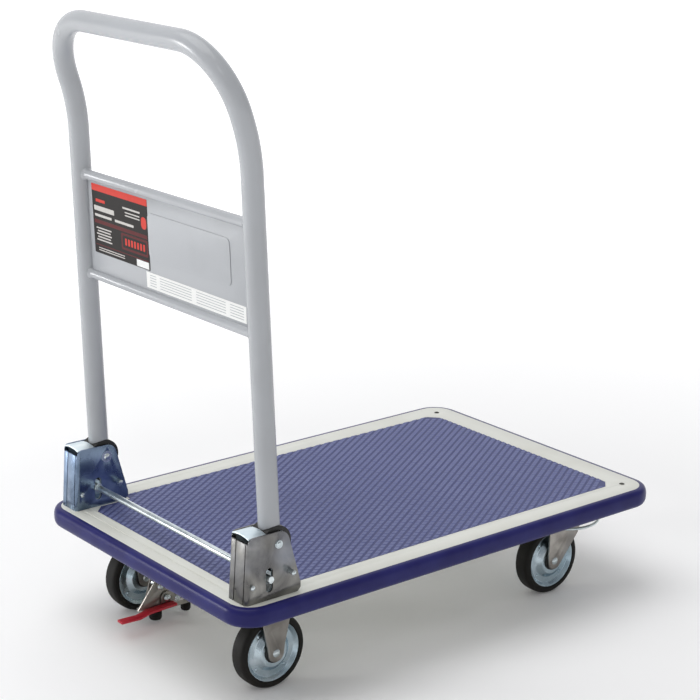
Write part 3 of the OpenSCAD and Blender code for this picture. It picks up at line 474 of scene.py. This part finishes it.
def zinc_plate(name, dark, bright, roughness, tint="#8c94a6", rolled=0.15):
    """Zinc on steel: metallic and cloudy, with fine lines left by rolling."""
    material, tree, place = new_material(name)
    cloud = add_node(tree, "ShaderNodeTexNoise", {
        "Vector": place, "Scale": 28.0, "Detail": 5.0, "Distortion": 0.6,
    })
    cloud_range = add_node(tree, "ShaderNodeMapRange", {
        "Value": cloud.outputs["Fac"], "From Min": 0.35, "From Max": 0.68,
    })
    tone = add_node(tree, "ShaderNodeMix", {
        "Factor": cloud_range.outputs["Result"], "A": linear(dark), "B": linear(bright),
    }, data_type="RGBA")
    film = add_node(tree, "ShaderNodeTexNoise", {"Vector": place, "Scale": 11.0, "Detail": 2.0})
    film_range = add_node(tree, "ShaderNodeMapRange", {
        "Value": film.outputs["Fac"], "From Min": 0.5, "From Max": 0.75, "To Max": 0.5,
    })
    tinted = add_node(tree, "ShaderNodeMix", {
        "Factor": film_range.outputs["Result"], "A": tone.outputs["Result"], "B": linear(tint),
    }, data_type="RGBA")
    gloss = add_node(tree, "ShaderNodeMapRange", {
        "Value": cloud.outputs["Fac"], "To Min": roughness - 0.08, "To Max": roughness + 0.12,
    })
    stretched = add_node(tree, "ShaderNodeMapping", {"Vector": place, "Scale": (1500, 1500, 60)})
    lines = add_node(tree, "ShaderNodeTexNoise", {
        "Vector": stretched.outputs["Vector"], "Scale": 1.0, "Detail": 2.0,
    })
    relief = add_node(tree, "ShaderNodeBump", {
        "Height": lines.outputs["Fac"], "Strength": rolled, "Distance": 0.0002,
    })
    finish_material(tree, add_node(tree, "ShaderNodeBsdfPrincipled", {
        "Base Color": tinted.outputs["Result"], "Metallic": 1.0,
        "Roughness": gloss.outputs["Result"], "Normal": relief.outputs["Normal"],
    }))
    return material


bracket_zinc = {
    "left": zinc_plate("blue_zinc_plated_bracket_steel", "#5f6f84", "#93a5bc", 0.26, "#8496b4"),
    # painted reflection: the near right bracket gets a darker grey plate than the far left one,
    # standing in for the dim room that its cheeks reflect
    "right": zinc_plate("grey_zinc_bracket_steel_painted_dim_reflection", "#636261", "#94938f", 0.28),
}
bright_zinc = zinc_plate("bright_zinc_plate", "#c0cacd", "#e4ecee", 0.26, "#bccbd6", 0.03)
cap_zinc = zinc_plate("bright_zinc_plated_stop_steel", "#d6e4ea", "#f4fafb", 0.4, "#d2e6f0", 0.05)
for side in ("left", "right"):
    bracket = softened("bracket_" + side, "bracket_%s_pressed" % side, 0.5 * MM)
    fit(bracket, "deck", "zinc", bracket_zinc[side], "bracket_" + side)
    stop = softened("stop_plate_" + side, "stop_plate_%s_pressed" % side, 0.4 * MM)
    fit(stop, "deck", "bright_zinc", cap_zinc, "stop_plate_" + side)
    dress(bright_zinc, "pivot_pin_" + side, "latch_spring_" + side)
dress(bright_zinc, "bracket_rivets", "bracket_bolts")

# ---- handle ------------------------------------------------------------------------------
# One 27.2 mm steel tube bent into a loop that leans back at the top, with two thin bars and
# a sheet panel welded between its legs, all powder coated in silver grey.
TUBE_R = 13.6 * MM
TUBE_WALL = 1.6 * MM
TUBE_BELOW = 14 * MM
LEG_LEN = 453 * MM
BEND_R = 239 * MM
BEND_GAP = 8.5 * MM
CORNER_R = 85 * MM
LEAN, BEND, SPLAY = math.radians(2.7), math.radians(15.6), math.radians(0.57)
PIVOT = Vector((194.5 * MM, *frame["joints"][0]["pos_m"][1:]))

loop_turn = Matrix.Rotation(LEAN + BEND, 4, "X")
splay_turn = loop_turn @ Matrix.Rotation(-SPLAY, 4, "Y")
leg_turn = splay_turn @ Matrix.Rotation(-BEND, 4, "X")
up_leg = leg_turn @ Vector((0, 0, 1))
up_top = splay_turn @ Vector((0, 0, 1))
foot = PIVOT - TUBE_BELOW * up_leg
bend_start = PIVOT + LEG_LEN * up_leg
bend_middle = bend_start + leg_turn @ Vector((0, -BEND_R, 0))
bend_end = bend_middle + splay_turn @ Vector((0, BEND_R, 0))
corner_start = bend_end + BEND_GAP * up_top
corner_middle = corner_start + splay_turn @ Vector((-CORNER_R, 0, 0))
bpy.ops.object.select_all(action="DESELECT")
bpy.ops.mesh.primitive_circle_add(
    vertices=40, radius=TUBE_R, location=foot, rotation=leg_turn.to_euler())
tube = bpy.context.active_object
tube.name = "handle_tube_bent"
bpy.ops.object.transform_apply(location=True, rotation=True, scale=True)
bpy.ops.object.mode_set(mode="EDIT")
bpy.ops.mesh.select_all(action="SELECT")
bpy.ops.mesh.extrude_region_move(TRANSFORM_OT_translate={"value": bend_start - foot})
bpy.ops.mesh.spin(
    steps=16, angle=-BEND, center=bend_middle, axis=splay_turn @ Vector((1, 0, 0)))
bpy.ops.mesh.extrude_region_move(TRANSFORM_OT_translate={"value": BEND_GAP * up_top})
bpy.ops.mesh.spin(
    steps=24, angle=math.pi / 2 - SPLAY, center=corner_middle,
    axis=splay_turn @ Vector((0, 1, 0)))
bpy.ops.object.mode_set(mode="OBJECT")
ring = [vertex.co.copy() for vertex in tube.data.vertices if vertex.select]
ring_middle = sum(ring, Vector()) / len(ring)
bpy.ops.object.mode_set(mode="EDIT")
bpy.ops.mesh.extrude_region_move(TRANSFORM_OT_translate={"value": (-ring_middle.x, 0, 0)})
bpy.ops.object.mode_set(mode="OBJECT")
mirror = tube.modifiers.new("other_leg", "MIRROR")
mirror.merge_threshold = 0.0001
bpy.ops.object.modifier_apply(modifier=mirror.name)
bpy.ops.object.mode_set(mode="EDIT")
bpy.ops.mesh.select_all(action="SELECT")
bpy.ops.mesh.normals_make_consistent(inside=False)
bpy.ops.object.mode_set(mode="OBJECT")
wall = tube.modifiers.new("wall", "SOLIDIFY")
wall.thickness = TUBE_WALL
wall.offset = -1
bpy.ops.object.modifier_apply(modifier=wall.name)
smooth(tube, 50)
grey_paint = powder_coat("silver_grey_powder_coat", "#acafb3", "#9c9ea0", 0.24)
fit(tube, "handle", "handle_paint", grey_paint, "handle_tube")


def turned(name, start, direction, rings, vertices=48, loop=False):
    """A round piece drawn ring by ring along an axis; each ring is a distance and a radius."""
    direction = Vector(direction).normalized()
    start = Vector(start)
    along, radius = rings[0]
    bpy.ops.object.select_all(action="DESELECT")
    bpy.ops.mesh.primitive_circle_add(
        vertices=vertices, radius=radius, fill_type="NOTHING" if loop else "NGON",
        location=start + along * direction, rotation=direction.to_track_quat("Z", "Y").to_euler())
    piece = bpy.context.active_object
    piece.name = name
    bpy.ops.object.transform_apply(location=True, rotation=True, scale=True)
    bpy.ops.object.mode_set(mode="EDIT")
    bpy.ops.mesh.select_all(action="SELECT")
    for (along, radius), (next_along, next_radius) in zip(rings, rings[1:]):
        bpy.ops.mesh.extrude_region_move(
            TRANSFORM_OT_translate={"value": (next_along - along) * direction})
        k = next_radius / radius
        bpy.ops.transform.resize(
            value=(k, k, k), center_override=start + next_along * direction)
    bpy.ops.mesh.select_all(action="SELECT")
    if loop:
        bpy.ops.mesh.remove_doubles(threshold=MERGE)
    bpy.ops.mesh.normals_make_consistent(inside=False)
    bpy.ops.object.mode_set(mode="OBJECT")
    smooth(piece, 30)
    return piece


def round_edges(piece, radius):
    """Rounds the sharp edges of a turned piece."""
    select_only(piece)
    edge = piece.modifiers.new("edge", "BEVEL")
    edge.width = radius
    edge.segments = 2
    edge.limit_method = "ANGLE"
    edge.angle_limit = math.radians(25)
    bpy.ops.object.modifier_apply(modifier=edge.name)
    smooth(piece, 40)


BAR_R = 6.35 * MM
WELD = 2.4 * MM
for node, up in (("crossbar_upper", 395 * MM), ("crossbar_lower", 260 * MM)):
    at = PIVOT + up * up_leg
    half = at.x - TUBE_R + 1.5 * MM
    bead = [(0, BAR_R + WELD), (2.2 * MM, BAR_R + 0.7 * WELD), (3.6 * MM, BAR_R + 0.2 * WELD),
            (5 * MM, BAR_R)]
    rings = bead + [(2 * half - along, radius) for along, radius in reversed(bead)]
    bar = turned(node + "_welded", (-half, at.y, at.z), (1, 0, 0), rings, 32)
    fit(bar, "handle", "handle_paint", grey_paint, node)

panel = softened("back_panel", "back_panel_pressed", 0.6 * MM, segments=3)
fit(panel, "handle", "handle_paint", grey_paint, "back_panel")

# ---- labels ------------------------------------------------------------------------------
# Two printed films stuck on the panel: a black one with plain blocks of colour, and a
# white strip with plain grey rules. Their print is blank blocks, and says nothing.
PANEL_T = 1.2 * MM
FILM_T = 0.3 * MM
panel_turn = Matrix.Translation((0, PIVOT.y, PIVOT.z)) @ Matrix.Rotation(
    math.pi / 2 + math.atan2(-up_leg.y, up_leg.z), 4, "X")


def printed_film(name, colour, roughness):
    """Printed plastic film: glossy, with a faint ripple where it's stuck down."""
    material, tree, place = new_material(name)
    ripple = add_node(tree, "ShaderNodeTexNoise", {"Vector": place, "Scale": 45.0, "Detail": 2.0})
    relief = add_node(tree, "ShaderNodeBump", {
        "Height": ripple.outputs["Fac"], "Strength": 0.15, "Distance": 0.001,
    })
    ink = add_node(tree, "ShaderNodeTexNoise", {"Vector": place, "Scale": 300.0, "Detail": 3.0})
    tone = add_node(tree, "ShaderNodeMix", {
        "Factor": ink.outputs["Fac"], "A": linear(colour),
        "B": [c * 0.9 for c in linear(colour)[:3]] + [1.0],
    }, data_type="RGBA")
    finish_material(tree, add_node(tree, "ShaderNodeBsdfPrincipled", {
        "Base Color": tone.outputs["Result"], "Roughness": roughness,
        "Normal": relief.outputs["Normal"], "IOR": 1.5, "Specular IOR Level": 0.15,
    }))
    return material


def patch(x, y, width, height, low, high, material, corner=0.0):
    """A thin rectangle on the panel, in millimetres across and up from the pivots."""
    bpy.ops.object.select_all(action="DESELECT")
    bpy.ops.mesh.primitive_plane_add(size=1, location=(0, 0, 0))
    piece = bpy.context.active_object
    bpy.ops.object.mode_set(mode="EDIT")
    bpy.ops.mesh.select_all(action="SELECT")
    bpy.ops.transform.resize(value=(width * MM, height * MM, 1))
    if corner:
        bpy.ops.mesh.bevel(offset=corner * MM, segments=5, affect="VERTICES")
        bpy.ops.mesh.select_all(action="SELECT")
    bpy.ops.mesh.extrude_region_move(TRANSFORM_OT_translate={"value": (0, 0, high - low)})
    bpy.ops.mesh.select_all(action="SELECT")
    bpy.ops.mesh.normals_make_consistent(inside=False)
    bpy.ops.object.mode_set(mode="OBJECT")
    piece.data.transform(panel_turn @ Matrix.Translation((x * MM, y * MM, PANEL_T / 2 + low)))
    piece.data.materials.append(material)
    return piece


def label(name, node, patches):
    """Joins patches into one label."""
    pieces = [patch(*values) for values in patches]
    select_only(*pieces[1:], pieces[0])
    bpy.ops.object.join()
    piece = bpy.context.active_object
    piece.name = name
    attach(piece, "handle")
    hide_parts(node)


black_film = printed_film("black_printed_film", "#16110f", 0.3)
red_film = printed_film("red_printed_film", "#d23a2e", 0.3)
dark_red_film = printed_film("dark_red_printed_film", "#5a1518", 0.3)
pale_film = printed_film("pale_printed_film", "#c9c6c2", 0.3)
white_film = printed_film("white_printed_film", "#eeefed", 0.32)
rule_film = printed_film("grey_printed_rules", "#a9adb1", 0.32)
INK = (FILM_T - 0.05 * MM, FILM_T + 0.05 * MM)
black_rows = [
    (-147, 364, 22, 4, *INK, red_film, 0.5), (-139, 353.5, 48, 6.5, *INK, pale_film, 1.0),
    (-74, 365, 40, 2.4, *INK, pale_film, 0.8), (-72, 359.5, 34, 1.6, *INK, pale_film, 0.6),
    (-72, 355.5, 34, 1.6, *INK, pale_film, 0.6), (-142, 344, 40, 3.4, *INK, pale_film, 0.8),
    (-92, 344, 44, 3.4, *INK, pale_film, 0.8), (-101.5, 335.5, 124, 5, *INK, dark_red_film, 0.5),
    (-46, 353, 12, 16, *INK, red_film, 5.5), (-70, 320, 62, 22, *INK, dark_red_film, 3.0),
    (-70, 320, 55, 16, INK[0], INK[1] + 0.02 * MM, black_film, 2.0),
    (-101.5, 304, 124, 1.2, *INK, dark_red_film, 0.3),
]
black_rows += [(-142, 327 - 4 * i, 36 - 5 * (i % 2), 1.8, *INK, pale_film, 0.6) for i in range(5)]
black_rows += [(-126, 300 - 3 * i, 62, 1.2, *INK, pale_film, 0.4) for i in range(2)]
black_rows += [(-53, 298, 28, 9, *INK, white_film, 0.5)]
black_rows += [
    (-90 + 7 * i, 320, 4, 9, INK[0], INK[1] + 0.05 * MM, red_film, 0.5) for i in range(7)
]
label("product_label_film", "product_label", [
    (-101.5, 339, 130, 93, 0.0, FILM_T, black_film, 0.8),
    (-101.5, 381, 130, 9, *INK, red_film, 0.8),
] + black_rows)
label("notice_label_film", "notice_label", [
    (61, 280, 214, 21, 0.0, FILM_T, white_film, 0.8),
] + [
    (61 + dx, 287 - 3.4 * row, width, 0.9, *INK, rule_film, 0.3)
    for dx, width in ((-92, 14), (-42, 70), (34, 62), (88, 28)) for row in range(5)
])

# ---- pivot blocks and release rod --------------------------------------------------------
# The handle's feet sit in moulded black resin blocks that turn in the brackets. A plated
# rod across both brackets is pushed down with a foot to free the handle.
resin, tree, place = new_material("black_moulded_resin")
grain = add_node(tree, "ShaderNodeTexNoise", {"Vector": place, "Scale": 1800.0, "Detail": 2.0})
relief = add_node(tree, "ShaderNodeBump", {
    "Height": grain.outputs["Fac"], "Strength": 0.12, "Distance": 0.0002,
})
scuff = add_node(tree, "ShaderNodeTexNoise", {"Vector": place, "Scale": 60.0, "Detail": 4.0})
gloss = add_node(tree, "ShaderNodeMapRange", {
    "Value": scuff.outputs["Fac"], "To Min": 0.35, "To Max": 0.55,
})
finish_material(tree, add_node(tree, "ShaderNodeBsdfPrincipled", {
    "Base Color": linear("#121211"), "Roughness": gloss.outputs["Result"],
    "Normal": relief.outputs["Normal"], "IOR": 1.5,
}))


def finish_parts(material, slot, radius, *names):
    """Rounded copies of parts, each on its own body, in one finish."""
    for name in names:
        piece = softened(name, name + "_finished", radius)
        fit(piece, nodes[name]["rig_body"], slot, material, name)


finish_parts(resin, "resin", 0.5 * MM, "pivot_block_left", "pivot_block_right")
finish_parts(bright_zinc, "bright_zinc", 0.3 * MM, "release_rod", "rod_clips")

# ---- casters -----------------------------------------------------------------------------
# Pressed forks on bolted plates, the front pair on kingpins. Each wheel is a solid rubber
# tyre pressed on two spun steel discs that are riveted together round a resin bush.
fork_zinc = zinc_plate("zinc_plated_fork_steel", "#85817c", "#b0aca6", 0.34, "#959ca8")
disc_zinc = zinc_plate("zinc_plated_disc_steel", "#9fb2bc", "#d0dde4", 0.24, "#a8c0d0")
SIDES = ("left", "right")
ENDS = ("rear", "front")
finish_parts(fork_zinc, "zinc", 0.5 * MM, *["fork_%s_%s" % (e, s) for e in ENDS for s in SIDES])
finish_parts(fork_zinc, "zinc", 0.4 * MM, *["plate_front_" + s for s in SIDES])
finish_parts(bright_zinc, "bright_zinc", 0.2 * MM, *["guard_ring_" + s for s in SIDES])
dress(bright_zinc, "kingpin_left", "kingpin_right", "caster_bolts")
finish_parts(bright_zinc, "bright_zinc", 0.4 * MM,
             *["axle_%s_%s" % (e, s) for e in ENDS for s in SIDES])

tyre_rubber, tree, place = new_material("black_moulded_rubber")
dust = add_node(tree, "ShaderNodeTexNoise", {"Vector": place, "Scale": 35.0, "Detail": 6.0})
dust_range = add_node(tree, "ShaderNodeMapRange", {
    "Value": dust.outputs["Fac"], "From Min": 0.45, "From Max": 0.75,
})
tone = add_node(tree, "ShaderNodeMix", {
    "Factor": dust_range.outputs["Result"], "A": linear("#100f0c"), "B": linear("#211e19"),
}, data_type="RGBA")
gloss = add_node(tree, "ShaderNodeMapRange", {
    "Value": dust.outputs["Fac"], "To Min": 0.5, "To Max": 0.75,
})
grain = add_node(tree, "ShaderNodeTexNoise", {"Vector": place, "Scale": 1400.0, "Detail": 3.0})
relief = add_node(tree, "ShaderNodeBump", {
    "Height": grain.outputs["Fac"], "Strength": 0.18, "Distance": 0.0003,
})
finish_material(tree, add_node(tree, "ShaderNodeBsdfPrincipled", {
    "Base Color": tone.outputs["Result"], "Roughness": gloss.outputs["Result"],
    "Normal": relief.outputs["Normal"], "IOR": 1.52, "Specular IOR Level": 0.25,
}))

# each ring is a distance along the axle from the wheel's middle and a radius, in millimetres
TYRE_RINGS = [
    (-6, 39), (-6, 40.6), (-12.2, 40.6), (-12.7, 41.4), (-12.7, 43.6), (-12.4, 44), (-12.3, 45.4),
    (-12, 46.4), (-11.2, 47.8), (-10, 48.9), (-8.5, 49.6), (-5, 49.9), (0, 50),
]
TYRE_RINGS += [(-x, r) for x, r in reversed(TYRE_RINGS[:-1])] + [TYRE_RINGS[0]]
DISC_RINGS = [
    (0, 27), (5.5, 27), (7.2, 23.2), (11.5, 19.4), (11.5, 14), (13, 14), (13, 20), (9, 24), (7, 27),
    (7, 35), (10.5, 38), (12, 39.7), (10.8, 40.5), (6, 40.5), (6, 39), (9.6, 39), (8, 36.5),
    (5.5, 34), (0, 34),
]
RIVETS = 4
RIVET_CIRCLE = 31 * MM
for end in ENDS:
    for side in SIDES:
        at = sum(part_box("tyre_%s_%s" % (end, side)), Vector()) / 2
        body = "wheel_%s_%s" % (end, side)
        tyre = turned("tyre_%s_%s_moulded" % (end, side), at, (1, 0, 0),
                      [(x * MM, r * MM) for x, r in TYRE_RINGS], 96, True)
        fit(tyre, body, "tyre", tyre_rubber, "tyre_%s_%s" % (end, side))
        parts = []
        for s in (-1, 1):
            half = turned("disc_half", at, (s, 0, 0),
                          [(x * MM, r * MM) for x, r in DISC_RINGS + DISC_RINGS[:1]], 96, True)
            round_edges(half, 0.5 * MM)
            parts.append(half)
            for i in range(RIVETS):
                turn = math.radians(40 + 360 * i / RIVETS)
                spot = at + Vector((0, math.cos(turn), math.sin(turn))) * RIVET_CIRCLE
                parts.append(turned("rivet", spot, (s, 0, 0), [
                    (6.6 * MM, 2.6 * MM), (7.4 * MM, 2.5 * MM), (8 * MM, 1.9 * MM),
                    (8.35 * MM, 1 * MM),
                ], 16))
        select_only(*parts[1:], parts[0])
        bpy.ops.object.join()
        disc = bpy.context.active_object
        disc.name = "disc_%s_%s_spun" % (end, side)
        fit(disc, body, "bright_zinc", disc_zinc, "disc_%s_%s" % (end, side))
        finish_parts(resin, "resin", 0.5 * MM, "bush_%s_%s" % (end, side))

# ---- floor lock --------------------------------------------------------------------------
# A plated steel bracket under the deck carries a bar with two rubber pads. A red steel
# strap behind it is stepped on, and lowers the bar toward the floor.
finish_parts(fork_zinc, "bright_zinc", 0.4 * MM, "lock_carrier", "lock_foot", "pedal_arm")
finish_parts(bright_zinc, "bright_zinc", 0.3 * MM, "lock_bolts")
finish_parts(tyre_rubber, "tyre", 0.8 * MM, "lock_pads")
red_paint = powder_coat("red_powder_coat", "#c21f33", "#a81a2c", 0.3)
finish_parts(red_paint, "pedal_red", 0.5 * MM, "pedal_strap")
steel_dark = zinc_plate("dark_plated_screw_steel", "#3f3e3a", "#6a6862", 0.35, "#55534e")
finish_parts(steel_dark, "dark_steel", 0.2 * MM, "corner_screws")
